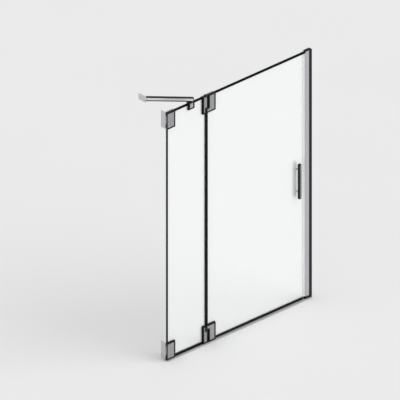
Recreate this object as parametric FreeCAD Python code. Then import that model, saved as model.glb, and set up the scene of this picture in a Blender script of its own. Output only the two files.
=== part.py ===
import FreeCAD, Part
import math
import os

# Hinged shower door: a narrow fixed glass panel on the left carries two glass-to-glass hinges,
# and a wide glass leaf swings on them both inwards and outwards.
# Frame in millimetres: x from the hinge side to the closing side, y inwards, z up.
# The origin is under the threshold strip, midway along it and in the middle plane of the glass.

# Overall sizes, and the allowances for cuts and for finding edges
niche_width = 1400.0
door_height = 2000.0
hinge_from_wall = 385.0
overrun = 5.0
tolerance = 0.001

# Glass
glass_thickness = 8.0
glass_gap = 12.0
fixed_glass_wall_gap = 5.0
fixed_glass_seat = 7.0
door_glass_lift = 11.0
pocket_height = 70.0
pocket_radius = 5.0
pocket_clearance = 0.3
notch_clearance = 2.0
glass_arris = 0.8

# Plates shared by the hinges and the wall brackets
gasket_thickness = 1.0
gasket_inset = 0.5
gasket_border = 4.0
plate_thickness = 11.0
plate_chamfer = 0.8
plate_corner_radius = 4.0
face_height = 1.0
face_inset = 10.0
face_corner_radius = 2.0
face_chamfer = 0.3

# Hinges
hinge_height = 140.0
hinge_lift = 2.0
fixed_plate_reach = 38.0
door_plate_reach = 84.0
fixed_pocket_depth = 15.0
door_pocket_depth = 32.0
knuckle_gap = 1.0
knuckle_face_inset = 4.0
door_knuckle_height = 38.5
thrust_gap = 1.5
thrust_clearance = 0.1
washer_margin = 1.5
washer_bore_clearance = 0.2
pin_radius = 7.0
pin_fit = 0.05
pin_in_fixed = 60.0
pin_in_door = 28.5
pin_chamfer = 1.0
bush_wall = 2.0
bush_end_gap = 0.3
bush_floor_gap = 1.2
plug_height = 5.0
pin_screw_height = 22.0

# Wall brackets
bracket_width = 78.0
bracket_height = 133.0
bracket_lift = 3.0
bracket_wall_inset = 3.0
bracket_pocket_depth = 42.0
flange_thickness = 6.0
flange_reach = 36.0
flange_fillet = 5.0
flange_hole_radius = 3.5
flange_hole_pitch = 80.0

# Countersunk clamp screws
screw_radius = 3.0
screw_head_radius = 6.0
screw_clearance = 0.15
screw_pitch = 40.0
screw_thread_depth = 7.0
screw_tip_gap = 0.6
socket_flats = 4.0
socket_depth = 2.0

# Headless locking screws
grub_radius = 3.0
grub_clearance = 0.1
grub_recess = 0.8

# Threshold strip
threshold_width = 36.0
threshold_height = 7.0
threshold_lip = 3.0
threshold_slope = 2.5
glue_groove_width = 4.0
glue_groove_depth = 1.0
glue_groove_offset = 10.0

# Clip-on seals
seal_wall = 1.2
seal_grip = 10.0
door_bottom_grip = 6.0
seal_clearance = 0.1
seal_end_gap = 1.0
hinge_seal_bulb_gap = 0.8
fin_thickness = 1.2
fin_clearance = 1.0
fin_spread = 0.5

# Closing side
closing_head = 11.0
closing_gap = 1.0
magnet_head = 7.0
magnet_head_width = 10.0
magnet_width = 6.4
magnet_depth = 4.5
magnet_clearance = 0.1
foot_neck_width = 4.0
foot_width = 8.0
foot_length = 1.6
profile_projection = 59.0
profile_depth = 49.0
profile_width = 25.0
profile_wall = 1.5
profile_chamber = 12.0
profile_edge_radius = 1.0
channel_depth = 24.0
channel_wall = 2.0
channel_clearance = 0.4
channel_hole_radius = 2.5
channel_hole_count = 4
channel_hole_end = 150.0
profile_screw_count = 3
profile_screw_end = 250.0
profile_screw_inset = 9.0
profile_screw_radius = 2.0
profile_screw_head_radius = 4.0
profile_screw_head_height = 2.2
cap_thickness = 3.0
cap_peg_height = 10.0
cap_clearance = 0.2

# Stabiliser
clamp_from_wall = 237.0
clamp_width = 56.0
clamp_drop = 53.0
clamp_cheek = 11.0
clamp_pad = 1.0
clamp_bridge = 5.0
clamp_fillet = 2.0
clamp_corner_radius = 4.0
clamp_pad_border = 3.0
clamp_face_inset = 12.0
clamp_screw_pitch = 20.0
clamp_screw_drop = 24.0
brace_angle = 45.0
brace_width = 24.0
brace_height = 30.0
brace_wall = 2.0
brace_overhang = 10.0
brace_cap = 15.0
brace_nose_radius = 12.0
brace_edge_radius = 1.5
spigot_clearance = 0.2
block_length = 42.0
block_thread = 8.0
wall_socket_thickness = 5.0
wall_socket_height = 48.0
wall_socket_radius = 6.0
wall_socket_margin = 4.0
wall_socket_ear = 28.0
wall_socket_hole_radius = 2.75
wall_socket_hole_pitch = 26.0
wall_socket_spigot = 26.0
wall_socket_screw_inset = 20.0
wall_socket_screw_bite = 4.0

# Handle
handle_from_edge = 53.0
handle_centre_height = 988.0
handle_length = 280.0
handle_width = 22.0
handle_depth = 20.0
handle_radius = 3.0
handle_face_inset = 6.0
handle_finger_gap = 14.0
handle_post_radius = 6.0
handle_post_pitch = 180.0
handle_washer_thickness = 1.0
handle_washer_radius = 8.0
handle_hole_radius = 6.0
handle_collar_gap = 0.2
stud_radius = 3.0
stud_clearance = 0.1
stud_bite = 8.0
handle_screw_radius = 2.0

# Places worked out from the sizes above
left_wall = -niche_width / 2
right_wall = niche_width / 2
axis_x = left_wall + hinge_from_wall
glass_face = glass_thickness / 2
clamp_face = glass_face + gasket_thickness
plate_face = clamp_face + plate_thickness
plate_front = plate_face - face_height
knuckle_radius = plate_front
opposite_edge = plate_face + knuckle_gap
notch_edge = opposite_edge + knuckle_gap
knuckle_split = door_knuckle_height + thrust_gap
hinge_middle = hinge_height / 2
bush_radius = pin_radius + pin_fit + bush_wall
upper_hinge_z = door_height - hinge_height
lower_hinge_z = threshold_height + hinge_lift
upper_bracket_z = door_height - bracket_height
lower_bracket_z = threshold_height + bracket_lift
fixed_glass_left = left_wall + fixed_glass_wall_gap
fixed_glass_right = axis_x - glass_gap / 2
fixed_glass_bottom = threshold_height + fixed_glass_seat
profile_nose = right_wall - profile_projection
wall_magnet_face = profile_nose - magnet_head
door_magnet_face = wall_magnet_face - closing_gap
door_glass_left = axis_x + glass_gap / 2
door_glass_right = door_magnet_face - closing_head
door_glass_bottom = threshold_height + door_glass_lift
seal_face = glass_face + seal_clearance + seal_wall
closing_seal_bottom = door_glass_bottom + door_bottom_grip + seal_end_gap
profile_half = profile_width / 2
profile_web = profile_nose + profile_chamber
channel_inside = profile_half + channel_clearance
channel_face = channel_inside + channel_wall
channel_left = right_wall - channel_depth
clamp_x = left_wall + clamp_from_wall
clamp_inside = glass_face + clamp_pad
clamp_outside = clamp_inside + clamp_cheek
clamp_front = clamp_outside - face_height
clamp_bottom = door_height - clamp_drop
clamp_top = door_height + clamp_pad + clamp_bridge
handle_x = door_glass_right - handle_from_edge
handle_seat = glass_face + handle_washer_thickness
handle_back = glass_face + handle_finger_gap
handle_front = handle_back + handle_depth

point = FreeCAD.Vector
x_axis = point(1, 0, 0)
y_axis = point(0, 1, 0)
z_axis = point(0, 0, 1)


# Shape helpers

def prism(points, way):
    return Part.Face(Part.makePolygon(points + points[:1])).extrude(way)


def prism_x(outline, x0, x1):
    return prism([point(x0, y, z) for y, z in outline], x_axis * (x1 - x0))


def prism_y(outline, y0, y1):
    return prism([point(x, y0, z) for x, z in outline], y_axis * (y1 - y0))


def prism_z(outline, z0, z1):
    return prism([point(x, y, z0) for x, y in outline], z_axis * (z1 - z0))


def rectangle(a0, a1, b0, b1):
    return [(a0, b0), (a1, b0), (a1, b1), (a0, b1)]


def rod(radius, start, end):
    return Part.makeCylinder(radius, (end - start).Length, start, end - start)


def edges_along(shape, axis):
    found = []
    for edge in shape.Edges:
        if len(edge.Vertexes) == 2:
            run = edge.Vertexes[1].Point - edge.Vertexes[0].Point
            if run.cross(axis).Length < tolerance < run.Length:
                found.append(edge)
    return found


def edges_in_plane(shape, axis, place):
    return [e for e in shape.Edges if all(abs(v.Point.dot(axis) - place) < tolerance for v in e.Vertexes)]


def edges_at_x(edges, x):
    return [e for e in edges if all(abs(v.Point.x - x) < tolerance for v in e.Vertexes)]


def hexagon(flats):
    reach = flats / math.sqrt(3)
    turns = [math.radians(60 * step) for step in range(6)]
    return [(reach * math.cos(turn), reach * math.sin(turn)) for turn in turns]


def drive_socket(flats, depth):
    return prism_z(hexagon(flats), -depth, overrun)


def turned(shape, place, way):
    # moves a shape drawn along z so that its z axis points along way from place
    shape.Placement = FreeCAD.Placement(place, FreeCAD.Rotation(z_axis, way))
    return shape


# Fasteners, drawn with the outer end at z = 0 and the tip below it

def countersunk_screw(length):
    head_height = screw_head_radius - screw_radius
    head = Part.makeCone(screw_radius, screw_head_radius, head_height, z_axis * -head_height)
    body = head.fuse(rod(screw_radius, z_axis * -length, z_axis * -head_height)).removeSplitter()
    return body.cut(drive_socket(socket_flats, socket_depth))


def countersunk_hole(length):
    hole_radius = screw_radius + screw_clearance
    mouth_radius = screw_head_radius + screw_clearance
    depth = mouth_radius - hole_radius
    mouth = Part.makeCone(hole_radius, mouth_radius, depth, z_axis * -depth)
    mouth = mouth.fuse(rod(mouth_radius, z_axis * 0, z_axis * overrun))
    return mouth.fuse(rod(hole_radius, z_axis * -(length + screw_tip_gap), z_axis * 0))


def grub_screw(radius, length):
    return rod(radius, z_axis * -length, z_axis * 0).cut(drive_socket(radius, radius))


# Clamp screws run from the rear plate through the glass pocket into the front plate

clamp_screw_length = plate_face + clamp_face + screw_thread_depth


def at_clamp_screws(maker, x, middle):
    shapes = []
    for side in (-1, 1):
        place = point(x, plate_face, middle + side * screw_pitch / 2)
        shapes.append(turned(maker(clamp_screw_length), place, y_axis))
    return shapes


def with_screw_holes(shape, x, middle):
    for hole in at_clamp_screws(countersunk_hole, x, middle):
        shape = shape.cut(hole)
    return shape


def pocket(x0, x1, middle, clearance):
    # block that fills a glass pocket between the two plates, less the clearance all round
    half = pocket_height / 2 - clearance
    block = prism_y(rectangle(x0, x1, middle - half, middle + half), -clamp_face, clamp_face)
    return block.makeFillet(pocket_radius, edges_along(block, y_axis))


def gasket_sheet(edge_x, plate_x, height, border, opening):
    # thin sheet on the inside of the glass, from its edge to past the plate and past its end at z = 0
    outer = plate_x + math.copysign(border, plate_x)
    outline = rectangle(*sorted((edge_x, outer)), -border, height - gasket_inset)
    sheet = prism_y(outline, glass_face, clamp_face)
    corner = [e for e in edges_at_x(edges_along(sheet, y_axis), outer) if e.CenterOfMass.z < height / 2]
    return sheet.makeFillet(plate_corner_radius + border, corner).cut(opening)


def gasket(edge_x, plate_x, height, opening):
    # the outside sheet shows as a dark border round its plate, the inside one stays behind its plate
    hidden = gasket_sheet(edge_x, plate_x, height, -gasket_inset, opening)
    return [hidden, outside(gasket_sheet(edge_x, plate_x, height, gasket_border, opening))]


def clamp_plate(edge_x, plate_x, height, face):
    # plate on the inside of the glass, from its edge to plate_x, where the corners are round
    plate = prism_y(rectangle(*sorted((edge_x, plate_x)), 0, height), clamp_face, face)
    plate = plate.makeFillet(plate_corner_radius, edges_at_x(edges_along(plate, y_axis), plate_x))
    inner = abs(edge_x) + tolerance
    rim = [e for e in edges_in_plane(plate, y_axis, face) if abs(e.CenterOfMass.x) > inner]
    return plate.makeChamfer(plate_chamfer, rim)


def outside(shape):
    return shape.mirror(point(0, 0, 0), y_axis)


def raised_face(outline, base, front):
    # shallow raised panel on an outside face, from y = base out to y = front
    panel = prism_y(outline, base, front)
    panel = panel.makeFillet(face_corner_radius, edges_along(panel, y_axis))
    return panel.makeChamfer(face_chamfer, edges_in_plane(panel, y_axis, front))


# Hinge, drawn about its own axis: z = 0 is the end nearer the middle of the door

fixed_pocket_x = -notch_edge - fixed_pocket_depth
door_pocket_x = notch_edge + door_pocket_depth
fixed_screw_x = (fixed_pocket_x - notch_edge) / 2
door_screw_x = (door_pocket_x + notch_edge) / 2


def knuckle_prism(reach, z0, z1):
    # web from the front plate into a round knuckle about the axis; reach is negative to the left
    side = math.copysign(1, reach)
    meet = side * math.sqrt(knuckle_radius ** 2 - clamp_face ** 2)
    front = point(0, -plate_front, z0)
    back = point(meet, -clamp_face, z0)
    outer = point(reach, -plate_front, z0)
    inner = point(reach, -clamp_face, z0)
    far = point(-side * knuckle_radius, 0, z0)
    rear = point(0, knuckle_radius, z0)
    bend = point(side * knuckle_radius, 0, z0)
    edges = [
        Part.LineSegment(outer, front).toShape(),
        Part.Arc(front, far, rear).toShape(),
        Part.Arc(rear, bend, back).toShape(),
        Part.LineSegment(back, inner).toShape(),
        Part.LineSegment(inner, outer).toShape(),
    ]
    return Part.Face(Part.Wire(edges)).extrude(z_axis * (z1 - z0))


def hinge_body(reach, near_inset, knuckle_z0, knuckle_z1, bore):
    near = math.copysign(opposite_edge, reach)
    plate = outside(clamp_plate(near, reach, hinge_height, plate_front))
    knuckle = knuckle_prism(near, knuckle_z0, knuckle_z1)
    outline = hinge_face_outline(reach, near_inset, knuckle_z0, knuckle_z1)
    face = raised_face(outline, -plate_front, -plate_face)
    return plate.fuse(knuckle).fuse(face).removeSplitter().cut(bore)


def hinge_face_outline(reach, near_inset, knuckle_z0, knuckle_z1):
    # follows the plate and its wider stretch at the knuckle, inside both
    side = math.copysign(1, reach)
    outer = reach - side * face_inset
    near = side * (opposite_edge + near_inset)
    axis_end = side * knuckle_face_inset
    low = face_inset
    high = hinge_height - face_inset
    if knuckle_z0 > 0:
        step = knuckle_z0 + face_inset
        return [(outer, low), (near, low), (near, step), (axis_end, step), (axis_end, high), (outer, high)]
    step = knuckle_z1 - face_inset
    return [(outer, low), (axis_end, low), (axis_end, step), (near, step), (near, high), (outer, high)]


def hinge_pin_screw():
    length = knuckle_radius - grub_recess - pin_radius - grub_clearance
    place = point(0, knuckle_radius - grub_recess, knuckle_split + pin_screw_height)
    return turned(grub_screw(grub_radius, length), place, y_axis)


def hinge_fixed_body():
    bore = rod(pin_radius + pin_fit, z_axis * (knuckle_split - overrun), z_axis * (hinge_height + overrun))
    tap_start = z_axis * (knuckle_split + pin_screw_height)
    tap = rod(grub_radius + grub_clearance, tap_start, tap_start + y_axis * (knuckle_radius + overrun))
    body = hinge_body(-fixed_plate_reach, knuckle_face_inset, knuckle_split, hinge_height, bore.fuse(tap))
    return with_screw_holes(body, fixed_screw_x, hinge_middle)


def hinge_door_body():
    floor = door_knuckle_height - pin_in_door - bush_floor_gap - bush_end_gap
    bore = rod(bush_radius + pin_fit, z_axis * floor, z_axis * (door_knuckle_height + overrun))
    body = hinge_body(door_plate_reach, face_inset, 0, door_knuckle_height, bore)
    return with_screw_holes(body, door_screw_x, hinge_middle)


def hinge_fixed_rear_plate():
    plate = clamp_plate(-opposite_edge, -fixed_plate_reach, hinge_height, plate_face)
    return with_screw_holes(plate, fixed_screw_x, hinge_middle)


def hinge_door_rear_plate():
    plate = clamp_plate(opposite_edge, door_plate_reach, hinge_height, plate_face)
    return with_screw_holes(plate, door_screw_x, hinge_middle)


def hinge_fixed_spacer():
    block = pocket(fixed_pocket_x + pocket_clearance, -notch_edge, hinge_middle, pocket_clearance)
    return with_screw_holes(block, fixed_screw_x, hinge_middle)


def hinge_door_spacer():
    block = pocket(notch_edge, door_pocket_x - pocket_clearance, hinge_middle, pocket_clearance)
    return with_screw_holes(block, door_screw_x, hinge_middle)


def hinge_fixed_gaskets():
    opening = pocket(fixed_pocket_x, overrun - notch_edge, hinge_middle, 0)
    return gasket(-notch_edge, -fixed_plate_reach, hinge_height, opening)


def hinge_door_gaskets():
    opening = pocket(notch_edge - overrun, door_pocket_x, hinge_middle, 0)
    return gasket(notch_edge, door_plate_reach, hinge_height, opening)


def hinge_pin():
    foot = z_axis * (door_knuckle_height - pin_in_door)
    pin = rod(pin_radius, foot, z_axis * (knuckle_split + pin_in_fixed))
    return pin.makeChamfer(pin_chamfer, [e for e in pin.Edges if e.isClosed()])


def hinge_bush():
    base = z_axis * (door_knuckle_height - pin_in_door - bush_floor_gap)
    top = z_axis * door_knuckle_height
    return rod(bush_radius, base, top).cut(rod(pin_radius + pin_fit, base, top))


def hinge_washer():
    base = z_axis * (door_knuckle_height + thrust_clearance)
    top = z_axis * knuckle_split
    bore = rod(pin_radius + washer_bore_clearance, base, top)
    return rod(knuckle_radius - washer_margin, base, top).cut(bore)


def hinge_plug():
    return rod(pin_radius, z_axis * (hinge_height - plug_height), z_axis * hinge_height)


def glass_cut(side):
    # notch beside the knuckles and pocket for the spacer block, past the pane's edge
    inner = side * glass_gap / 2 - side * overrun
    notch_span = sorted((inner, side * notch_edge))
    pocket_x = door_pocket_x if side > 0 else fixed_pocket_x
    pocket_span = sorted((inner, pocket_x))
    notch = rectangle(*notch_span, -notch_clearance, hinge_height + overrun)
    cut = prism_y(notch, -glass_thickness, glass_thickness)
    return cut.fuse(pocket(*pocket_span, hinge_middle, 0))


def at_upper_hinge(shape):
    shape = shape.copy()
    shape.translate(point(axis_x, 0, upper_hinge_z))
    return shape


def at_lower_hinge(shape):
    shape = shape.mirror(point(0, 0, 0), z_axis)
    shape.translate(point(axis_x, 0, lower_hinge_z + hinge_height))
    return shape


hinge_places = {"upper": at_upper_hinge, "lower": at_lower_hinge}


def both_hinges(shapes):
    return [place(shape) for place in hinge_places.values() for shape in shapes]


# Wall bracket, drawn with its seat at x = 0: z = 0 is the end nearer the middle of the door

bracket_middle = bracket_height / 2
bracket_pocket_x = fixed_glass_wall_gap + bracket_pocket_depth
bracket_screw_x = (bracket_pocket_x + fixed_glass_wall_gap) / 2


def bracket_front_plate():
    plate = outside(clamp_plate(0, bracket_width, bracket_height, plate_front))
    right = bracket_width - face_inset
    face = rectangle(bracket_wall_inset, right, face_inset, bracket_height - face_inset)
    plate = plate.fuse(raised_face(face, -plate_front, -plate_face))
    return with_screw_holes(plate, bracket_screw_x, bracket_middle)


def bracket_angle():
    flange_end = plate_face + flange_reach
    outline = [
        (0, clamp_face), (bracket_width, clamp_face), (bracket_width, plate_face),
        (flange_thickness, plate_face), (flange_thickness, flange_end), (0, flange_end),
    ]
    angle = prism_z(outline, 0, bracket_height)
    angle = angle.makeFillet(plate_corner_radius, edges_at_x(edges_along(angle, y_axis), bracket_width))
    bend = edges_at_x(edges_in_plane(angle, y_axis, plate_face), flange_thickness)
    angle = angle.makeFillet(flange_fillet, bend)
    for side in (-1, 1):
        z = bracket_middle + side * flange_hole_pitch / 2
        hole_y = (plate_face + flange_fillet + flange_end) / 2
        start = point(-overrun, hole_y, z)
        angle = angle.cut(rod(flange_hole_radius, start, start + x_axis * (flange_thickness + 2 * overrun)))
    return with_screw_holes(angle, bracket_screw_x, bracket_middle)


def bracket_spacer():
    right = bracket_pocket_x - pocket_clearance
    block = pocket(fixed_glass_wall_gap, right, bracket_middle, pocket_clearance)
    return with_screw_holes(block, bracket_screw_x, bracket_middle)


def bracket_gaskets():
    opening = pocket(-overrun, bracket_pocket_x, bracket_middle, 0)
    return gasket(fixed_glass_wall_gap, bracket_width, bracket_height, opening)


def at_upper_bracket(shape):
    shape = shape.copy()
    shape.translate(point(left_wall, 0, upper_bracket_z))
    return shape


def at_lower_bracket(shape):
    shape = shape.mirror(point(0, 0, 0), z_axis)
    shape.translate(point(left_wall, 0, lower_bracket_z + bracket_height))
    return shape


bracket_places = {"upper": at_upper_bracket, "lower": at_lower_bracket}


def both_brackets(shapes):
    return [place(shape) for place in bracket_places.values() for shape in shapes]


# Glass

def with_arrises(pane):
    # bevels the edges of a pane along its outer border
    box = pane.BoundBox
    border = []
    for face in (-glass_face, glass_face):
        for edge in edges_in_plane(pane, y_axis, face):
            middle = edge.CenterOfMass
            gaps = (middle.x - box.XMin, box.XMax - middle.x, middle.z - box.ZMin, box.ZMax - middle.z)
            if min(gaps) < tolerance:
                border.append(edge)
    return pane.makeChamfer(glass_arris, border)


def fixed_glass():
    outline = rectangle(fixed_glass_left, fixed_glass_right, fixed_glass_bottom, door_height)
    pane = prism_y(outline, -glass_face, glass_face)
    bracket_cut = pocket(-overrun, bracket_pocket_x, bracket_middle, 0)
    for cut in both_hinges([glass_cut(-1)]) + both_brackets([bracket_cut]):
        pane = pane.cut(cut)
    return with_arrises(pane)


def door_glass():
    outline = rectangle(door_glass_left, door_glass_right, door_glass_bottom, door_height)
    pane = prism_y(outline, -glass_face, glass_face)
    for cut in both_hinges([glass_cut(1)]):
        pane = pane.cut(cut)
    for place in handle_post_places():
        reach = y_axis * glass_thickness
        pane = pane.cut(rod(handle_hole_radius, place - reach, place + reach))
    return with_arrises(pane)


# Threshold and seals

def threshold_strip():
    half = threshold_width / 2
    top = half - threshold_slope
    outline = [(-half, 0), (half, 0), (half, threshold_lip), (top, threshold_height),
               (-top, threshold_height), (-half, threshold_lip)]
    strip = prism_x(outline, left_wall, right_wall)
    for side in (-1, 1):
        near = side * glue_groove_offset - glue_groove_width / 2
        groove = rectangle(near, near + glue_groove_width, 0, glue_groove_depth)
        strip = strip.cut(prism_x(groove, left_wall, right_wall))
    return strip


def clip_outline(edge, base_end, leg_end):
    # U that grips a glass edge: base from base_end to the edge, legs on to leg_end, across the glass
    slot = glass_face + seal_clearance
    return [(-seal_face, base_end), (seal_face, base_end), (seal_face, leg_end), (slot, leg_end),
            (slot, edge), (-slot, edge), (-slot, leg_end), (-seal_face, leg_end)]


def across(outline):
    # swaps the two coordinates, for a clip on an upright edge
    return [(b, a) for a, b in outline]


def fixed_bottom_seal():
    edge = fixed_glass_bottom - seal_clearance
    outline = clip_outline(edge, threshold_height, edge + seal_grip)
    end_gap = gasket_border + seal_end_gap
    return prism_x(outline, left_wall + bracket_width + end_gap, axis_x - fixed_plate_reach - end_gap)


def fixed_wall_seal():
    edge = fixed_glass_left - seal_clearance
    outline = across(clip_outline(edge, left_wall, edge + seal_grip))
    end_gap = gasket_border + seal_end_gap
    return prism_z(outline, lower_bracket_z + bracket_height + end_gap, upper_bracket_z - end_gap)


def door_hinge_seal():
    edge = door_glass_left - seal_clearance
    bulb_radius = glass_gap / 2 - hinge_seal_bulb_gap
    base_end = axis_x + bulb_radius - seal_wall
    z0 = lower_hinge_z + hinge_height + notch_clearance
    z1 = upper_hinge_z - notch_clearance
    clip = prism_z(across(clip_outline(edge, base_end, edge + seal_grip)), z0, z1)
    bottom = point(axis_x, 0, z0)
    top = point(axis_x, 0, z1)
    bulb = rod(bulb_radius, bottom, top).cut(rod(bulb_radius - seal_wall, bottom, top))
    return bulb.fuse(clip).cut(rod(bulb_radius - seal_wall, bottom, top)).removeSplitter()


def door_bottom_seal():
    edge = door_glass_bottom - seal_clearance
    base = edge - seal_wall
    start = axis_x + door_plate_reach + gasket_border + seal_end_gap
    seal = prism_x(clip_outline(edge, base, edge + door_bottom_grip), start, door_glass_right)
    tip = threshold_height + fin_clearance
    for side in (-1, 1):
        outline = [(seal_face, base), (seal_face - fin_thickness, base), (fin_spread, tip),
                   (fin_spread + fin_thickness, tip)]
        fin = [(side * y, z) for y, z in outline]
        seal = seal.fuse(prism_x(fin, start, door_glass_right))
    return seal.removeSplitter()


def magnet_slot(face, way, clearance):
    # rectangle in x and y of a magnet strip that lies one seal wall behind a closing face
    near = face + way * (seal_wall - clearance)
    far = face + way * (seal_wall + magnet_depth + clearance)
    half = magnet_width / 2 + clearance
    return rectangle(*sorted((near, far)), -half, half)


def door_closing_seal():
    edge = door_glass_right + seal_clearance
    outline = across(clip_outline(edge, door_magnet_face, edge - seal_grip))
    seal = prism_z(outline, closing_seal_bottom, door_height)
    slot = magnet_slot(door_magnet_face, -1, magnet_clearance)
    return seal.cut(prism_z(slot, closing_seal_bottom - overrun, door_height + overrun))


def door_magnet_strip():
    return prism_z(magnet_slot(door_magnet_face, -1, 0), closing_seal_bottom, door_height)


def wall_magnet_holder():
    half = magnet_head_width / 2
    neck = foot_neck_width / 2
    foot = foot_width / 2
    inside = profile_nose + profile_wall + seal_clearance
    outline = [(wall_magnet_face, -half), (profile_nose, -half), (profile_nose, -neck), (inside, -neck),
               (inside, -foot), (inside + foot_length, -foot)]
    outline += [(x, -y) for x, y in reversed(outline)]
    holder = prism_z(outline, threshold_height, door_height)
    slot = magnet_slot(wall_magnet_face, 1, magnet_clearance)
    return holder.cut(prism_z(slot, threshold_height - overrun, door_height + overrun))


def wall_magnet_strip():
    return prism_z(magnet_slot(wall_magnet_face, 1, 0), threshold_height, door_height)


# Closing profile and wall channel, each open towards the other

def profile_screw_heights():
    span = door_height - threshold_height - 2 * profile_screw_end
    step = span / (profile_screw_count - 1)
    return [threshold_height + profile_screw_end + index * step for index in range(profile_screw_count)]


def profile_screw_start(z):
    return point(channel_left + profile_screw_inset, channel_face, z)


def with_profile_screw_holes(shape):
    for z in profile_screw_heights():
        start = profile_screw_start(z)
        radius = profile_screw_radius + screw_clearance
        shape = shape.cut(rod(radius, start + y_axis * overrun, start - y_axis * profile_half))
    return shape


def closing_profile():
    tail = profile_nose + profile_depth
    outline = rectangle(profile_nose, tail, -profile_half, profile_half)
    outer = prism_z(outline, threshold_height, door_height)
    outer = outer.makeFillet(profile_edge_radius, edges_at_x(edges_along(outer, z_axis), profile_nose))
    inside = profile_half - profile_wall
    chamber = rectangle(profile_nose + profile_wall, profile_web, -inside, inside)
    socket = rectangle(profile_web + profile_wall, tail + overrun, -inside, inside)
    slot_half = foot_neck_width / 2 + seal_clearance
    slot = rectangle(profile_nose - overrun, profile_nose + profile_chamber / 2, -slot_half, slot_half)
    for opening in (chamber, socket, slot):
        outer = outer.cut(prism_z(opening, threshold_height - overrun, door_height + overrun))
    return with_profile_screw_holes(outer)


def wall_channel():
    outline = rectangle(channel_left, right_wall, -channel_face, channel_face)
    channel = prism_z(outline, threshold_height, door_height)
    channel = channel.makeFillet(profile_edge_radius, edges_at_x(edges_along(channel, z_axis), channel_left))
    hollow = rectangle(channel_left - overrun, right_wall - channel_wall, -channel_inside, channel_inside)
    channel = channel.cut(prism_z(hollow, threshold_height - overrun, door_height + overrun))
    first = threshold_height + channel_hole_end
    step = (door_height - channel_hole_end - first) / (channel_hole_count - 1)
    for index in range(channel_hole_count):
        start = point(right_wall + overrun, 0, first + index * step)
        channel = channel.cut(rod(channel_hole_radius, start, start - x_axis * channel_depth))
    return with_profile_screw_holes(channel)


def closing_profile_screws():
    screws = []
    for z in profile_screw_heights():
        start = profile_screw_start(z)
        head = rod(profile_screw_head_radius, start, start + y_axis * profile_screw_head_height)
        reach = channel_face - profile_half + profile_wall + profile_screw_radius
        screws.append(head.fuse(rod(profile_screw_radius, start, start - y_axis * reach)).removeSplitter())
    return screws


def wall_profile_cap():
    plate = prism_z(rectangle(profile_nose, right_wall, -channel_face, channel_face),
                    door_height, door_height + cap_thickness)
    plate = plate.makeChamfer(plate_chamfer, edges_in_plane(plate, z_axis, door_height + cap_thickness))
    inside = profile_half - profile_wall - cap_clearance
    peg_start = profile_web + profile_wall + cap_clearance
    peg = rectangle(peg_start, profile_nose + profile_depth, -inside, inside)
    return plate.fuse(prism_z(peg, door_height - cap_peg_height, door_height)).removeSplitter()


# Stabiliser: fork on the fixed panel's top edge, and a brace bar from it to the wall socket

def clamp_screw_places():
    y = clamp_outside - grub_recess
    z = door_height - clamp_screw_drop
    return [point(clamp_x + side * clamp_screw_pitch / 2, y, z) for side in (-1, 1)]


def brace_screw_place():
    return point(clamp_x, 0, door_height + clamp_pad)


def brace_screw_length():
    return clamp_bridge + brace_wall + spigot_clearance + block_thread


def brace_screw():
    return turned(countersunk_screw(brace_screw_length()), brace_screw_place(), -z_axis)


def with_brace_screw_hole(shape):
    return shape.cut(turned(countersunk_hole(brace_screw_length()), brace_screw_place(), -z_axis))


def glass_clamp():
    slot_top = door_height + clamp_pad
    outline = [(-clamp_front, clamp_bottom), (-clamp_inside, clamp_bottom), (-clamp_inside, slot_top)]
    outline += [(clamp_inside, slot_top), (clamp_inside, clamp_bottom), (clamp_outside, clamp_bottom)]
    outline += [(clamp_outside, clamp_top), (-clamp_front, clamp_top)]
    half = clamp_width / 2
    fork = prism_x(outline, clamp_x - half, clamp_x + half)
    corners = [e for e in edges_along(fork, y_axis) if e.CenterOfMass.z < clamp_bottom + tolerance]
    fork = fork.makeFillet(clamp_corner_radius, corners)
    fork = fork.makeFillet(clamp_fillet, clamp_outer_edges(fork))
    reach = half - clamp_face_inset
    low = clamp_bottom + clamp_face_inset
    high = clamp_top - clamp_face_inset
    face = rectangle(clamp_x - reach, clamp_x + reach, low, high)
    fork = fork.fuse(raised_face(face, -clamp_front, -clamp_outside))
    for place in clamp_screw_places():
        tap_start = point(place.x, 0, place.z)
        fork = fork.cut(rod(grub_radius + grub_clearance, tap_start, place + y_axis * overrun))
    return with_brace_screw_hole(fork)


def clamp_outer_edges(fork):
    faces = edges_in_plane(fork, y_axis, clamp_outside) + edges_in_plane(fork, y_axis, -clamp_front)
    return [edge for edge in faces if edge.CenterOfMass.z < clamp_top - tolerance]


def clamp_saddle_pad():
    top = door_height + clamp_pad
    bottom = clamp_bottom - clamp_pad_border
    outline = [(-clamp_inside, bottom), (-glass_face, bottom), (-glass_face, door_height)]
    outline += [(-y, z) for y, z in reversed(outline)]
    outline += [(clamp_inside, top), (-clamp_inside, top)]
    half = clamp_width / 2 + clamp_pad_border
    pad = prism_x(outline, clamp_x - half, clamp_x + half)
    head = brace_screw_place()
    return pad.cut(rod(screw_head_radius, head, head - z_axis * clamp_pad))


def clamp_screws():
    length = clamp_outside - grub_recess - clamp_inside - grub_clearance
    return [turned(grub_screw(grub_radius, length), place, y_axis) for place in clamp_screw_places()]


def along_brace(shape):
    # from the bar's own frame, s along x from the clamp towards the wall socket, to the door's frame
    shape.rotate(point(0, 0, 0), z_axis, 180 - brace_angle)
    shape.translate(point(clamp_x, 0, clamp_top))
    return shape


def brace_run():
    return (clamp_from_wall - wall_socket_thickness) / math.cos(math.radians(brace_angle))


def beyond_wall(face):
    reach = clamp_from_wall
    outline = rectangle(left_wall - reach, left_wall + face, 0, 2 * reach)
    return prism_z(outline, door_height, door_height + reach)


def brace_section(half_width, z0, z1, s0, s1):
    return prism_z(rectangle(s0, s1, -half_width, half_width), z0, z1)


def socket_screw_length():
    return brace_wall + spigot_clearance + wall_socket_screw_bite


def socket_screw_place():
    return point(brace_run() - wall_socket_screw_inset, 0, 0)


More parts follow.
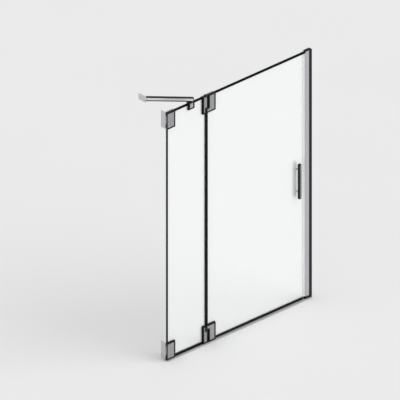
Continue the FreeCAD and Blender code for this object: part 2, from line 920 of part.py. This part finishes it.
def socket_screw_hole():
    place = socket_screw_place()
    depth = z_axis * (socket_screw_length() + grub_clearance)
    return rod(grub_radius + grub_clearance, place - z_axis * overrun, place + depth)


def socket_screw():
    screw = grub_screw(grub_radius, socket_screw_length())
    return along_brace(turned(screw, socket_screw_place(), -z_axis))


def brace_bar():
    end = brace_run() + brace_width
    bar = brace_section(brace_width / 2, 0, brace_height, -brace_overhang, end)
    bar = bar.makeFillet(brace_edge_radius, edges_along(bar, x_axis))
    hollow = brace_section(brace_width / 2 - brace_wall, brace_wall, brace_height - brace_wall,
                           -brace_overhang - overrun, end + overrun)
    bar = bar.cut(hollow).cut(socket_screw_hole())
    return with_brace_screw_hole(along_brace(bar)).cut(beyond_wall(wall_socket_thickness))


def spigot(s0, s1):
    gap = brace_wall + spigot_clearance
    return brace_section(brace_width / 2 - gap, gap, brace_height - gap, s0, s1)


def brace_end_block():
    half = brace_width / 2
    tip = -brace_overhang - brace_cap
    cap = brace_section(half, 0, brace_height, tip, -brace_overhang)
    tip_edges = edges_in_plane(cap, x_axis, tip)
    nose = [e for e in tip_edges if e.CenterOfMass.z > brace_height - tolerance]
    cap = cap.makeFillet(brace_nose_radius, nose)
    sides = [e for side in (-half, half) for e in edges_in_plane(cap, y_axis, side)]
    free = [e for e in sides if e.CenterOfMass.x < -brace_overhang - tolerance]
    cap = cap.makeFillet(brace_edge_radius, free)
    block = cap.fuse(spigot(-brace_overhang, block_length - brace_overhang))
    return with_brace_screw_hole(along_brace(block))


def wall_socket():
    middle = clamp_top + brace_height / 2
    meet = clamp_from_wall * math.tan(math.radians(brace_angle))
    foot = brace_width / math.sin(math.radians(brace_angle)) / 2 + wall_socket_margin
    outline = rectangle(meet - foot - wall_socket_thickness, meet + foot + wall_socket_ear,
                        middle - wall_socket_height / 2, middle + wall_socket_height / 2)
    plate = prism_x(outline, left_wall, left_wall + wall_socket_thickness)
    plate = plate.makeFillet(wall_socket_radius, edges_along(plate, x_axis))
    peg = along_brace(spigot(brace_run() - wall_socket_spigot, brace_run() + brace_width))
    socket = plate.fuse(peg.cut(beyond_wall(wall_socket_thickness))).removeSplitter()
    hole_y = meet + foot + wall_socket_ear / 2
    for side in (-1, 1):
        start = point(left_wall - overrun, hole_y, middle + side * wall_socket_hole_pitch / 2)
        hole = rod(wall_socket_hole_radius, start, start + x_axis * (wall_socket_thickness + 2 * overrun))
        socket = socket.cut(hole)
    return socket.cut(along_brace(socket_screw_hole()))


# Handle pair: a bar on each face of the leaf, back to back

def handle_post_places():
    return [point(handle_x, 0, handle_centre_height + side * handle_post_pitch / 2) for side in (-1, 1)]


def handle_bar(side):
    z0 = handle_centre_height - handle_length / 2
    z1 = handle_centre_height + handle_length / 2
    half = handle_width / 2
    base = side * (handle_front - face_height)
    depth_span = sorted((side * handle_back, base))
    bar = prism_z(rectangle(handle_x - half, handle_x + half, *depth_span), z0, z1)
    bar = bar.makeFillet(handle_radius, bar.Edges)
    reach = half - handle_face_inset
    face = rectangle(handle_x - reach, handle_x + reach, z0 + handle_face_inset, z1 - handle_face_inset)
    bar = bar.fuse(raised_face(face, base, side * handle_front))
    for place in handle_post_places():
        depth = handle_back + stud_bite + stud_clearance
        bar = bar.cut(rod(stud_radius + stud_clearance, place, place + y_axis * side * depth))
    return bar


def handle_posts(side):
    posts = []
    for place in handle_post_places():
        start = place + y_axis * side * handle_seat
        end = place + y_axis * side * handle_back
        post = rod(handle_post_radius, start, end).cut(rod(stud_radius + stud_clearance, start, end))
        if side > 0:
            middle = (start + end) / 2
            tap_end = middle - x_axis * (handle_post_radius + overrun)
            post = post.cut(rod(handle_screw_radius + stud_clearance, middle, tap_end))
        posts.append(post)
    return posts


def handle_inner_screws():
    screws = []
    length = handle_post_radius - grub_recess - stud_radius - stud_clearance
    for place in handle_post_places():
        middle = place + y_axis * (handle_seat + handle_back) / 2
        outer_end = middle - x_axis * (handle_post_radius - grub_recess)
        screws.append(turned(grub_screw(handle_screw_radius, length), outer_end, -x_axis))
    return screws


def handle_washers():
    washers = []
    for place in handle_post_places():
        for side in (-1, 1):
            way = y_axis * side
            flange = rod(handle_washer_radius, place + way * glass_face, place + way * handle_seat)
            collar = rod(handle_hole_radius - handle_collar_gap, place + way * handle_collar_gap,
                         place + way * handle_seat)
            bore = rod(stud_radius + stud_clearance, place, place + way * handle_back)
            washers.append(flange.fuse(collar).removeSplitter().cut(bore))
    return washers


def handle_studs():
    reach = y_axis * (handle_back + stud_bite)
    return [rod(stud_radius, place - reach, place + reach) for place in handle_post_places()]


# The whole door

def hinge_nodes():
    pieces = {
        "fixed_body": hinge_fixed_body(),
        "fixed_rear_plate": hinge_fixed_rear_plate(),
        "door_body": hinge_door_body(),
        "door_rear_plate": hinge_door_rear_plate(),
        "pin": hinge_pin(),
        "bush": hinge_bush(),
    }
    nodes = {}
    for level, place in hinge_places.items():
        for name, shape in pieces.items():
            nodes[f"{level}_hinge_{name}"] = [place(shape)]
    nodes["hinge_fixed_spacers"] = both_hinges([hinge_fixed_spacer()])
    nodes["hinge_door_spacers"] = both_hinges([hinge_door_spacer()])
    nodes["hinge_fixed_gaskets"] = both_hinges(hinge_fixed_gaskets())
    nodes["hinge_door_gaskets"] = both_hinges(hinge_door_gaskets())
    nodes["hinge_thrust_washers"] = both_hinges([hinge_washer()])
    nodes["hinge_pin_screws"] = both_hinges([hinge_pin_screw()])
    nodes["hinge_pin_plugs"] = both_hinges([hinge_plug()])
    for half, x in (("fixed", fixed_screw_x), ("door", door_screw_x)):
        nodes[f"hinge_{half}_screws"] = both_hinges(at_clamp_screws(countersunk_screw, x, hinge_middle))
    return nodes


def bracket_nodes():
    nodes = {}
    for level, place in bracket_places.items():
        nodes[f"{level}_bracket_front_plate"] = [place(bracket_front_plate())]
        nodes[f"{level}_bracket_angle"] = [place(bracket_angle())]
    nodes["bracket_spacers"] = both_brackets([bracket_spacer()])
    nodes["bracket_gaskets"] = both_brackets(bracket_gaskets())
    screws = at_clamp_screws(countersunk_screw, bracket_screw_x, bracket_middle)
    nodes["bracket_screws"] = both_brackets(screws)
    return nodes


def glass_and_seal_nodes():
    return {
        "threshold_strip": [threshold_strip()],
        "fixed_glass": [fixed_glass()],
        "fixed_bottom_seal": [fixed_bottom_seal()],
        "fixed_wall_seal": [fixed_wall_seal()],
        "door_glass": [door_glass()],
        "door_hinge_seal": [door_hinge_seal()],
        "door_bottom_seal": [door_bottom_seal()],
        "door_closing_seal": [door_closing_seal()],
        "door_magnet_strip": [door_magnet_strip()],
        "wall_magnet_holder": [wall_magnet_holder()],
        "wall_magnet_strip": [wall_magnet_strip()],
        "closing_profile": [closing_profile()],
        "closing_profile_screws": closing_profile_screws(),
        "wall_channel": [wall_channel()],
        "wall_profile_cap": [wall_profile_cap()],
    }


def stabiliser_nodes():
    return {
        "stabiliser_clamp": [glass_clamp()],
        "stabiliser_pad": [clamp_saddle_pad()],
        "stabiliser_clamp_screws": clamp_screws(),
        "stabiliser_bar": [brace_bar()],
        "stabiliser_end_block": [brace_end_block()],
        "stabiliser_bar_screw": [brace_screw()],
        "stabiliser_wall_socket": [wall_socket()],
        "stabiliser_socket_screw": [socket_screw()],
    }


def handle_nodes():
    return {
        "handle_outer_bar": [handle_bar(-1)],
        "handle_inner_bar": [handle_bar(1)],
        "handle_outer_posts": handle_posts(-1),
        "handle_inner_posts": handle_posts(1),
        "handle_washers": handle_washers(),
        "handle_studs": handle_studs(),
        "handle_inner_screws": handle_inner_screws(),
    }


def main():
    os.makedirs("parts", exist_ok=True)
    groups = (hinge_nodes, bracket_nodes, glass_and_seal_nodes, stabiliser_nodes, handle_nodes)
    for group in groups:
        for name, shapes in group().items():
            solids = [solid for shape in shapes for solid in shape.Solids]
            whole = solids[0] if len(solids) == 1 else Part.makeCompound(solids)
            whole.exportStep(f"parts/{name}.step")
            print(name, len(solids), "solids")


main()
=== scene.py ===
import math

import bpy
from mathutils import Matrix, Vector


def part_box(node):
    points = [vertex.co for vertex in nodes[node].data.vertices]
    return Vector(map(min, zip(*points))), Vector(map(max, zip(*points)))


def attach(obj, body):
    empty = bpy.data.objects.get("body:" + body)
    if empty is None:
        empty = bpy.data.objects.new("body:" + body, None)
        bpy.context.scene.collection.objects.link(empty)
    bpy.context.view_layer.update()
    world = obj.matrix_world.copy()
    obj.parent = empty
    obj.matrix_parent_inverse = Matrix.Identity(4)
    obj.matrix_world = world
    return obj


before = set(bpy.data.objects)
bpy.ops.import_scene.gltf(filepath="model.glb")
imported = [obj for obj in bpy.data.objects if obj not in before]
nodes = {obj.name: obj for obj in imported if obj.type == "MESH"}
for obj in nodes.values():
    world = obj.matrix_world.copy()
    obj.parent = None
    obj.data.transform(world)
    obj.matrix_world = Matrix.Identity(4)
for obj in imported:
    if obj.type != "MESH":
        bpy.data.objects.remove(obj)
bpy.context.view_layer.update()  # glass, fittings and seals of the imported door
levels = ("upper", "lower")
halves = ("fixed", "door")
grainDetail = 2.0  # finer octaves in the noise of a fine grain
cloudDetail = 3.0  # finer octaves in the noise of a soft mottling
print("door loaded:", len(nodes), "nodes")


class Wire:
    # one output socket; arithmetic on it adds Math nodes
    def __init__(self, finish, socket):
        self.finish = finish
        self.socket = socket

    def maths(self, operation, first, second=0.0):
        return self.finish.node("ShaderNodeMath", {"operation": operation}, {0: first, 1: second})

    def __add__(self, other):
        return self.maths("ADD", self, other)

    def __radd__(self, other):
        return self.maths("ADD", other, self)

    def __sub__(self, other):
        return self.maths("SUBTRACT", self, other)

    def __rsub__(self, other):
        return self.maths("SUBTRACT", other, self)

    def __mul__(self, other):
        return self.maths("MULTIPLY", self, other)

    def __rmul__(self, other):
        return self.maths("MULTIPLY", other, self)

    def __neg__(self):
        return self.maths("MULTIPLY", self, -1.0)

    def __abs__(self):
        return self.maths("ABSOLUTE", self)

    def root(self):
        return self.maths("SQRT", self)

    def atLeast(self, other):
        return self.maths("MAXIMUM", self, other)

    def atMost(self, other):
        return self.maths("MINIMUM", self, other)

    def output(self, name):  # another output of the same node
        return Wire(self.finish, self.socket.node.outputs[name])


class Finish:
    # node tree of one material, or of the world
    def __init__(self, owner):
        owner.use_nodes = True
        self.owner = owner
        self.tree = owner.node_tree
        self.tree.nodes.clear()

    def node(self, kind, settings, sockets, output=0):
        made = self.tree.nodes.new(kind)
        for name, value in settings.items():
            setattr(made, name, value)
        for name, value in sockets.items():
            if isinstance(value, Wire):
                self.tree.links.new(value.socket, made.inputs[name])
            else:
                made.inputs[name].default_value = value
        return Wire(self, made.outputs[output] if made.outputs else None)

    def place(self):
        return self.node("ShaderNodeTexCoord", {}, {}, "Object")

    def axis(self, name):  # X, Y or Z of the place, in metres
        return self.node("ShaderNodeSeparateXYZ", {}, {0: self.place()}, name)

    def above(self, value, low, soft):  # 0 up to low, 1 from low + soft on
        return self.node("ShaderNodeMapRange", {"interpolation_type": "SMOOTHSTEP"},
                         {"Value": value, "From Min": low, "From Max": low + soft})

    def vary(self, mask, middle, spread):  # one number, from half the spread below to half above
        return middle - spread / 2 + spread * mask

    def blend(self, mask, first, second):  # colours, first where mask is 0
        tones = [tone if isinstance(tone, Wire) else (*tone, 1.0) for tone in (first, second)]
        return self.node("ShaderNodeMix", {"data_type": "RGBA"},
                         {"Factor": mask, 6: tones[0], 7: tones[1]}, 2)

    def mottle(self, mask, colour, spread):  # one colour, a little darker to a little paler
        shades = [[part * level for part in colour] for level in (1 - spread, 1 + spread)]
        return self.blend(mask, *shades)

    def noise(self, scale, detail, longer=(1, 1, 1), turn=0.0):  # turned about z, then drawn out
        where = self.node("ShaderNodeMapping", {"vector_type": "TEXTURE"},
                          {"Vector": self.place(), "Scale": longer, "Rotation": (0.0, 0.0, turn)})
        return self.node("ShaderNodeTexNoise", {}, {"Vector": where, "Scale": scale, "Detail": detail})

    def bump(self, height, strength, depth):
        return self.node("ShaderNodeBump", {}, {"Height": height, "Strength": strength, "Distance": depth})

    def shader(self, **sockets):
        named = {key.replace("_", " "): value for key, value in sockets.items()}
        return self.node("ShaderNodeBsdfPrincipled", {}, named)

    def close(self, shader):
        self.node("ShaderNodeOutputMaterial", {}, {"Surface": shader})
        return self.owner

    def surface(self, **sockets):
        return self.close(self.shader(**sockets))


def newFinish(name):
    return Finish(bpy.data.materials.new(name))


def dress(material, *names):
    for name in names:
        slots = nodes[name].data.materials
        slots.clear()
        slots.append(material)


# painted shade on the panes: dark lines along the top, each side of the hinge gap, and above the bottom seal
shadeLineLook = {"topBand": 0.018, "gapReach": 0.0115, "footBand": 0.004, "soft": 0.0005,
            "colour": (0.003, 0.004, 0.004), "spread": 0.3, "grain": 700.0,
            "rough": 0.55, "roughSpread": 0.1, "gloss": 0.05}
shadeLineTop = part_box("door_glass")[1][2] - shadeLineLook["topBand"]
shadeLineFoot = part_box("door_bottom_seal")[1][2] + shadeLineLook["footBand"]
gapMiddle = (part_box("fixed_glass")[1][0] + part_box("door_glass")[0][0]) / 2


# mask and near black shader of the painted shade lines on the panes
def makeShadeLines(made):
    look = shadeLineLook
    z = made.axis("Z")
    fromGap = abs(made.axis("X") - gapMiddle)
    dark = made.above(z, shadeLineTop, look["soft"])
    dark = dark.atLeast(1 - made.above(fromGap, look["gapReach"], look["soft"]))
    dark = dark.atLeast(1 - made.above(z, shadeLineFoot, look["soft"]))
    grain = made.noise(look["grain"], grainDetail)
    tone = made.mottle(grain, look["colour"], look["spread"])
    rough = made.vary(grain, look["rough"], look["roughSpread"])
    return dark, made.shader(Base_Color=tone, Roughness=rough, Specular_IOR_Level=look["gloss"])


# clear safety glass: a faint veil with smears on both faces, and pale green edges; painted shade lines are
# mixed over it
glassLook = {"tint": (0.975, 0.985, 0.985), "tintSpread": 0.015, "rough": 0.045, "roughSpread": 0.05,
             "index": 1.5, "gloss": 0.3, "bump": 0.02, "depth": 0.001,
             "veil": 0.21, "veilSpread": 0.02, "veilGrazing": 0.25, "grazing": 0.25,
             "smear": 5.0, "smearDetail": 5.0, "smearLonger": (1, 1, 3),
             "edgeInset": 0.0002, "edgeSoft": 0.0001, "edgeTone": (0.66, 0.82, 0.77), "edgeAlpha": 0.25}


def makeGlass():
    look = glassLook
    made = newFinish("veiled_glass")
    smear = made.noise(look["smear"], look["smearDetail"], look["smearLonger"])
    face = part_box("door_glass")[1][1]
    edge = 1 - made.above(abs(made.axis("Y")), face - look["edgeInset"], look["edgeSoft"])
    grazing = made.node("ShaderNodeLayerWeight", {}, {"Blend": look["grazing"]}, "Fresnel")
    veil = look["veil"] + look["veilSpread"] * smear + look["veilGrazing"] * grazing
    veil = veil + edge * (look["edgeAlpha"] - look["veil"])
    tone = made.blend(edge, made.mottle(smear, look["tint"], look["tintSpread"]), look["edgeTone"])
    pane = made.shader(Base_Color=tone, Alpha=veil, IOR=look["index"], Specular_IOR_Level=look["gloss"],
                       Roughness=made.vary(smear, look["rough"], look["roughSpread"]),
                       Normal=made.bump(smear, look["bump"], look["depth"]))
    # painted shade lines mixed over the pane
    dark, line = makeShadeLines(made)
    return made.close(made.node("ShaderNodeMixShader", {}, {0: dark, 1: pane, 2: line}))


dress(makeGlass(), "fixed_glass", "door_glass")
print("glass done")


# satin metal with fine brush lines along one axis
metalLooks = {
    "pale_plates": {"colour": (0.60, 0.60, 0.61), "rough": 0.34, "along": "z"},
    "pale_handle": {"colour": (0.46, 0.46, 0.47), "rough": 0.34, "along": "z"},
    "plain_steel": {"colour": (0.50, 0.50, 0.50), "rough": 0.30, "along": "y"},
}
brushLook = {"fine": 1500.0, "broad": 260.0, "longer": 50.0, "fineShare": 0.5, "cloud": 12.0,
             "cloudShare": 0.25, "spread": 0.16, "roughSpread": 0.2, "gloss": 0.2,
             "bump": 0.1, "depth": 0.0001}
# near black powder coat with its orange peel, where a piece isn't satin; on the outside fittings it also
# paints the shade of their sides
coatAndShadeLook = {"colour": (0.005, 0.005, 0.006), "spread": 0.25, "grain": 900.0, "rough": 0.43,
            "roughSpread": 0.1, "peel": 2.0, "edge": 0.0003}


def makeBrushed(made, colour, rough, along, satin=None, metal=1.0, turn=0.0):
    look = brushLook
    longer = [look["longer"] if axis == along else 1.0 for axis in "xyz"]
    fine = made.noise(look["fine"], grainDetail, longer, turn)
    broad = made.noise(look["broad"], grainDetail, longer, turn)
    lines = look["fineShare"] * fine + (1 - look["fineShare"]) * broad
    cloud = made.noise(look["cloud"], cloudDetail)
    shade = (1 - look["cloudShare"]) * lines + look["cloudShare"] * cloud
    tone = made.mottle(shade, colour, look["spread"])
    roughness = made.vary(lines, rough, look["roughSpread"])
    relief = lines
    if satin:  # 1 where the piece is satin, 0 where it is coated, the coat also painting shade
        coat = coatAndShadeLook
        grain = made.noise(coat["grain"], grainDetail)
        coatRough = made.vary(grain, coat["rough"], coat["roughSpread"])
        tone = made.blend(satin, made.mottle(grain, coat["colour"], coat["spread"]), tone)
        roughness = roughness * satin + coatRough * (1 - satin)
        relief = lines * satin + coat["peel"] * grain * (1 - satin)
        metal = metal * satin
    return made.surface(Base_Color=tone, Metallic=metal, Roughness=roughness,
                        Specular_IOR_Level=look["gloss"],
                        Normal=made.bump(relief, look["bump"], look["depth"]))


metals = {name: makeBrushed(newFinish(name), **look) for name, look in metalLooks.items()}
dress(metals["pale_plates"], "stabiliser_wall_socket", *[f"{level}_bracket_angle" for level in levels],
      *[f"{level}_hinge_{half}_rear_plate" for level in levels for half in halves])
dress(metals["pale_handle"], "handle_inner_bar", "handle_inner_posts", "handle_outer_posts")
dress(metals["plain_steel"], "upper_hinge_pin", "lower_hinge_pin", "hinge_pin_screws", "hinge_fixed_screws",
      "hinge_door_screws", "bracket_screws", "closing_profile_screws", "stabiliser_clamp_screws",
      "stabiliser_bar_screw", "stabiliser_socket_screw", "handle_studs", "handle_inner_screws")


# outside plates, clamp and handle: only the raised face is satin, less a dark rim of painted shade on its
# right and below
plateLook = {"colour": (0.385, 0.385, 0.395), "rough": 0.36}
faceLooks = {
    "bracket_front_plate": {**plateLook, "right": 0.0145, "shadeRimBelow": 0.013},
    "hinge_fixed_body": {**plateLook, "shadeRimBelow": 0.013},
    "hinge_door_body": {**plateLook, "right": 0.0145, "shadeRimBelow": 0.013},
    "stabiliser_clamp": {"colour": (0.50, 0.50, 0.51), "rough": 0.36, "right": 0.016, "inside": 0.0045},
    "handle_outer_bar": {"colour": (0.30, 0.295, 0.31), "rough": 0.34, "right": 0.0095},
}
faceDepth = 0.00088  # of the satin on a raised face, from its front


def makeFace(name, colour, rough, right=0.0, shadeRimBelow=0.0, inside=None):
    made = newFinish("satin_" + name)
    low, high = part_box(name)
    y = made.axis("Y")
    edge = coatAndShadeLook["edge"]
    # the rest of the piece gets the near black coat, which also paints the shade of its sides
    satin = made.above(abs(y), -low[1] - faceDepth, edge)
    # dark rims of painted shade on the right of the raised face and below it
    satin = satin * made.above(high[0] - made.axis("X"), right, edge)
    satin = satin * made.above(made.axis("Z"), low[2] + shadeRimBelow, edge)
    if inside:  # the cheek on the shower side is satin all over
        satin = satin.atLeast(made.above(y, inside, edge))
    dress(makeBrushed(made, colour, rough, "z", satin), name)


for kind, look in faceLooks.items():
    names = [kind] if kind in nodes else [f"{level}_{kind}" for level in levels]
    for name in names:
        makeFace(name, **look)


# brace bar: pale sides, with a dark border of painted shade along its top and its round nose, and a dark
# foot of painted shade
barLook = {"colour": (0.76, 0.76, 0.78), "rough": 0.36, "metal": 0.3, "turn": 135.0, "tip": 0.025,
           "nose": 0.012, "border": 0.0036, "foot": 0.0082, "soft": 0.0004}


def makeBar():
    look = barLook
    made = newFinish("pale_bar")
    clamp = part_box("stabiliser_clamp")
    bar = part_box("stabiliser_bar")
    turn = math.radians(look["turn"])
    fromClamp = made.axis("X") - (clamp[0][0] + clamp[1][0]) / 2
    along = math.cos(turn) * fromClamp + math.sin(turn) * made.axis("Y")  # from the clamp to the socket
    z = made.axis("Z")
    past = (look["nose"] - look["tip"] - along).atLeast(0.0)
    over = (z - bar[1][2] + look["nose"]).atLeast(0.0)
    depth = look["nose"] - (past * past + over * over).root()  # how far inside the outline
    # painted shade: a dark border inside the top and the nose, and a dark foot
    satin = made.above(depth, look["border"], look["soft"])
    satin = satin * made.above(z, bar[0][2] + look["foot"], look["soft"])
    dress(makeBrushed(made, look["colour"], look["rough"], "x", satin, look["metal"], turn),
          "stabiliser_bar", "stabiliser_end_block")


makeBar()


# closing profile: pale strip on a dark foot of painted shade, as high as the painted shade line above the
# bottom seal
stripLook = {"colour": (0.55, 0.545, 0.575), "rough": 0.36, "along": "z"}


def makeStrip():
    made = newFinish("closing_strip")
    # below the painted shade line the strip is dark
    satin = made.above(made.axis("Z"), shadeLineFoot, coatAndShadeLook["edge"])
    dress(makeBrushed(made, satin=satin, **stripLook), "closing_profile")


makeStrip()
print("metal done")


# rubber, plastic, anodised strips and sealant; some are see-through, or have black ends of painted shade or
# a taped back
mouldedLooks = {
    "black_seal": {"colour": (0.004, 0.004, 0.0045), "rough": 0.6, "grain": 700.0},
    "wall_seal_rubber": {"colour": (0.012, 0.012, 0.013), "rough": 0.6, "grain": 700.0, "taped": True},
    "plate_gasket": {"colour": (0.005, 0.005, 0.005), "rough": 0.7, "grain": 900.0},
    "clear_washer": {"colour": (0.88, 0.90, 0.90), "rough": 0.25, "grain": 300.0, "alpha": 0.14},
    "clear_seal": {"colour": (0.97, 0.97, 0.97), "rough": 0.25, "grain": 300.0, "alpha": 0.06, "shadeEnds": True},
    "white_holder": {"colour": (0.95, 0.95, 0.95), "rough": 0.45, "grain": 600.0, "shadeEnds": True},
    "white_bush": {"colour": (0.70, 0.70, 0.67), "rough": 0.4, "grain": 500.0},
    "black_cap": {"colour": (0.008, 0.008, 0.009), "rough": 0.5, "grain": 600.0},
    "black_anodised": {"colour": (0.016, 0.016, 0.018), "rough": 0.45, "grain": 1200.0},
    "grey_anodised": {"colour": (0.37, 0.37, 0.375), "rough": 0.5, "grain": 1200.0},
    "magnet_band": {"colour": (0.95, 0.95, 0.95), "rough": 0.5, "grain": 800.0, "shadeEnds": True},
    "sealant": {"colour": (0.62, 0.62, 0.62), "rough": 0.35, "grain": 120.0, "alpha": 0.5},
}
mouldLook = {"cloud": 9.0, "cloudShare": 0.4, "spread": 0.12, "roughSpread": 0.12, "gloss": 0.12,
             "bump": 0.1, "depth": 0.0001}
tapeLook = {"colour": (0.93, 0.93, 0.93), "spread": 0.03, "thick": 0.0008, "lip": 0.0005, "soft": 0.0002}


def makeMoulded(name, colour, rough, grain, alpha=1.0, shadeEnds=False, taped=False):
    look = mouldLook
    made = newFinish(name)
    speck = made.noise(grain, grainDetail)
    cloud = made.noise(look["cloud"], cloudDetail)
    shade = (1 - look["cloudShare"]) * speck + look["cloudShare"] * cloud
    tone = made.mottle(shade, colour, look["spread"])
    if shadeEnds:  # black ends of painted shade that carry on the painted shade lines on the panes
        z = made.axis("Z")
        soft = shadeLineLook["soft"]
        middle = made.above(z, shadeLineFoot, soft) * (1 - made.above(z, shadeLineTop, soft))
        tone = made.blend(middle, coatAndShadeLook["colour"], tone)
        alpha = (1 - middle).atLeast(alpha)
    if taped:  # pale sticky tape on the back of the seal, behind its outer lip
        tape = tapeLook
        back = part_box("fixed_wall_seal")[0][0]
        rubber = made.above(made.axis("X"), back + tape["thick"], tape["soft"])
        rubber = rubber.atLeast(made.above(-made.axis("Y"), tape["lip"], tape["soft"]))
        tone = made.blend(rubber, made.mottle(cloud, tape["colour"], tape["spread"]), tone)
    return made.surface(Base_Color=tone, Alpha=alpha, Specular_IOR_Level=look["gloss"],
                        Roughness=made.vary(speck, rough, look["roughSpread"]),
                        Normal=made.bump(speck, look["bump"], look["depth"]))


moulded = {name: makeMoulded(name, **look) for name, look in mouldedLooks.items()}
dress(moulded["black_seal"], "fixed_bottom_seal", "door_hinge_seal", "door_bottom_seal")
dress(moulded["wall_seal_rubber"], "fixed_wall_seal")
dress(moulded["plate_gasket"], "hinge_fixed_gaskets", "hinge_door_gaskets", "bracket_gaskets",
      "stabiliser_pad")
dress(moulded["clear_washer"], "handle_washers")
dress(moulded["clear_seal"], "door_closing_seal")
dress(moulded["white_holder"], "wall_magnet_holder")
dress(moulded["white_bush"], "upper_hinge_bush", "lower_hinge_bush", "hinge_thrust_washers",
      "hinge_fixed_spacers", "hinge_door_spacers", "bracket_spacers")
dress(moulded["black_cap"], "wall_profile_cap", "hinge_pin_plugs")
dress(moulded["black_anodised"], "wall_channel")
dress(moulded["grey_anodised"], "threshold_strip")
dress(moulded["magnet_band"], "door_magnet_strip", "wall_magnet_strip")
print("plastic and rubber done")


# sealant bead along each long edge of the threshold, hollow as a finger leaves it
beadLook = {"reach": 0.0035, "rise": 0.0026, "bevelShare": 0.85, "hollow": 0.22, "steps": 5, "smooth": 40.0}


def makeBead(name, side):
    look = beadLook
    low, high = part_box("threshold_strip")
    edge = high[1] if side > 0 else low[1]
    middle = (0.0, edge + side * look["reach"] / 2, look["rise"] / 2)
    bpy.ops.object.select_all(action="DESELECT")
    bpy.ops.mesh.primitive_cube_add(size=1.0, location=middle,
                                    scale=(high[0] - low[0], look["reach"], look["rise"]))
    bead = bpy.context.object
    bead.name = name
    bpy.ops.object.transform_apply(location=True, rotation=True, scale=True)
    bpy.ops.object.mode_set(mode="EDIT")
    bpy.ops.mesh.select_mode(type="EDGE")
    bpy.ops.mesh.select_all(action="DESELECT")
    bpy.ops.object.mode_set(mode="OBJECT")
    points = bead.data.vertices
    for line in bead.data.edges:  # the upper edge away from the strip
        line.select = all(points[end].co.z > middle[2] and side * points[end].co.y > side * middle[1]
                          for end in line.vertices)
    bpy.ops.object.mode_set(mode="EDIT")
    bpy.ops.mesh.bevel(offset=look["rise"] * look["bevelShare"], segments=look["steps"],
                       profile=look["hollow"])
    bpy.ops.mesh.select_all(action="SELECT")
    bpy.ops.mesh.normals_make_consistent(inside=False)
    bpy.ops.object.mode_set(mode="OBJECT")
    bpy.ops.object.shade_smooth_by_angle(angle=math.radians(look["smooth"]))
    bead.data.materials.append(moulded["sealant"])
    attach(bead, "fixed_side")


makeBead("sealant_front", -1)
makeBead("sealant_back", 1)
print("sealant done")


# pale ground of the stage, just under the threshold
floorLook = {"colour": (0.83, 0.83, 0.835), "spread": 0.01, "cloud": 1.2, "rough": 0.8, "gloss": 0.1,
             "size": 24.0, "drop": 0.0005}


def makeFloor():
    look = floorLook
    bpy.ops.object.select_all(action="DESELECT")
    bpy.ops.mesh.primitive_plane_add(size=look["size"], location=(0.0, 0.0, -look["drop"]))
    floor = bpy.context.object
    floor.name = "floor"
    made = newFinish("pale_floor")
    tone = made.mottle(made.noise(look["cloud"], cloudDetail), look["colour"], look["spread"])
    floor.data.materials.append(made.surface(Base_Color=tone, Roughness=look["rough"],
                                             Specular_IOR_Level=look["gloss"]))


# soft light from all round and from a wide sun; the backdrop is what camera, metal and glass see
lightLook = {"tone": (1.0, 1.0, 1.0), "level": 0.72, "backdrop": (0.83, 0.83, 0.835), "backdropLevel": 1.0,
             "sunFrom": (0.42, -0.66, 0.62), "sunStrength": 1.4, "sunAngle": 50.0}


def makeLight():
    look = lightLook
    world = bpy.data.worlds.new("studio")
    made = Finish(world)
    ray = made.node("ShaderNodeLightPath", {}, {}, "Is Camera Ray")
    seen = (ray + ray.output("Is Glossy Ray") + ray.output("Is Transmission Ray")).atMost(1.0)
    level = look["level"] + (look["backdropLevel"] - look["level"]) * seen
    tone = made.blend(seen, look["tone"], look["backdrop"])
    sky = made.node("ShaderNodeBackground", {}, {"Color": tone, "Strength": level})
    made.node("ShaderNodeOutputWorld", {}, {"Surface": sky})
    bpy.context.scene.world = world
    bpy.ops.object.light_add(type="SUN")
    sun = bpy.context.object
    sun.name = "sun"
    sun.data.energy = look["sunStrength"]
    sun.data.angle = math.radians(look["sunAngle"])
    sun.rotation_euler = Vector(look["sunFrom"]).to_track_quat("Z", "Y").to_euler()


# parallel view of the outside, from the left and above
cameraLook = {"target": (-0.370, 0.0, 1.1748), "azimuth": -43.0, "elevation": 28.5, "width": 2.8335,
              "distance": 9.0, "reach": 40.0}


def makeCamera():
    look = cameraLook
    turn = math.radians(look["azimuth"])
    rise = math.radians(look["elevation"])
    back = Vector((math.sin(turn) * math.cos(rise), -math.cos(turn) * math.cos(rise), math.sin(rise)))
    bpy.ops.object.camera_add(location=Vector(look["target"]) + back * look["distance"])
    camera = bpy.context.object
    camera.rotation_euler = back.to_track_quat("Z", "Y").to_euler()
    camera.data.type = "ORTHO"
    camera.data.ortho_scale = look["width"]
    camera.data.clip_end = look["reach"]
    bpy.context.scene.camera = camera


makeFloor()
makeLight()
makeCamera()
bpy.context.scene.view_settings.view_transform = "Standard"
print("stage done")
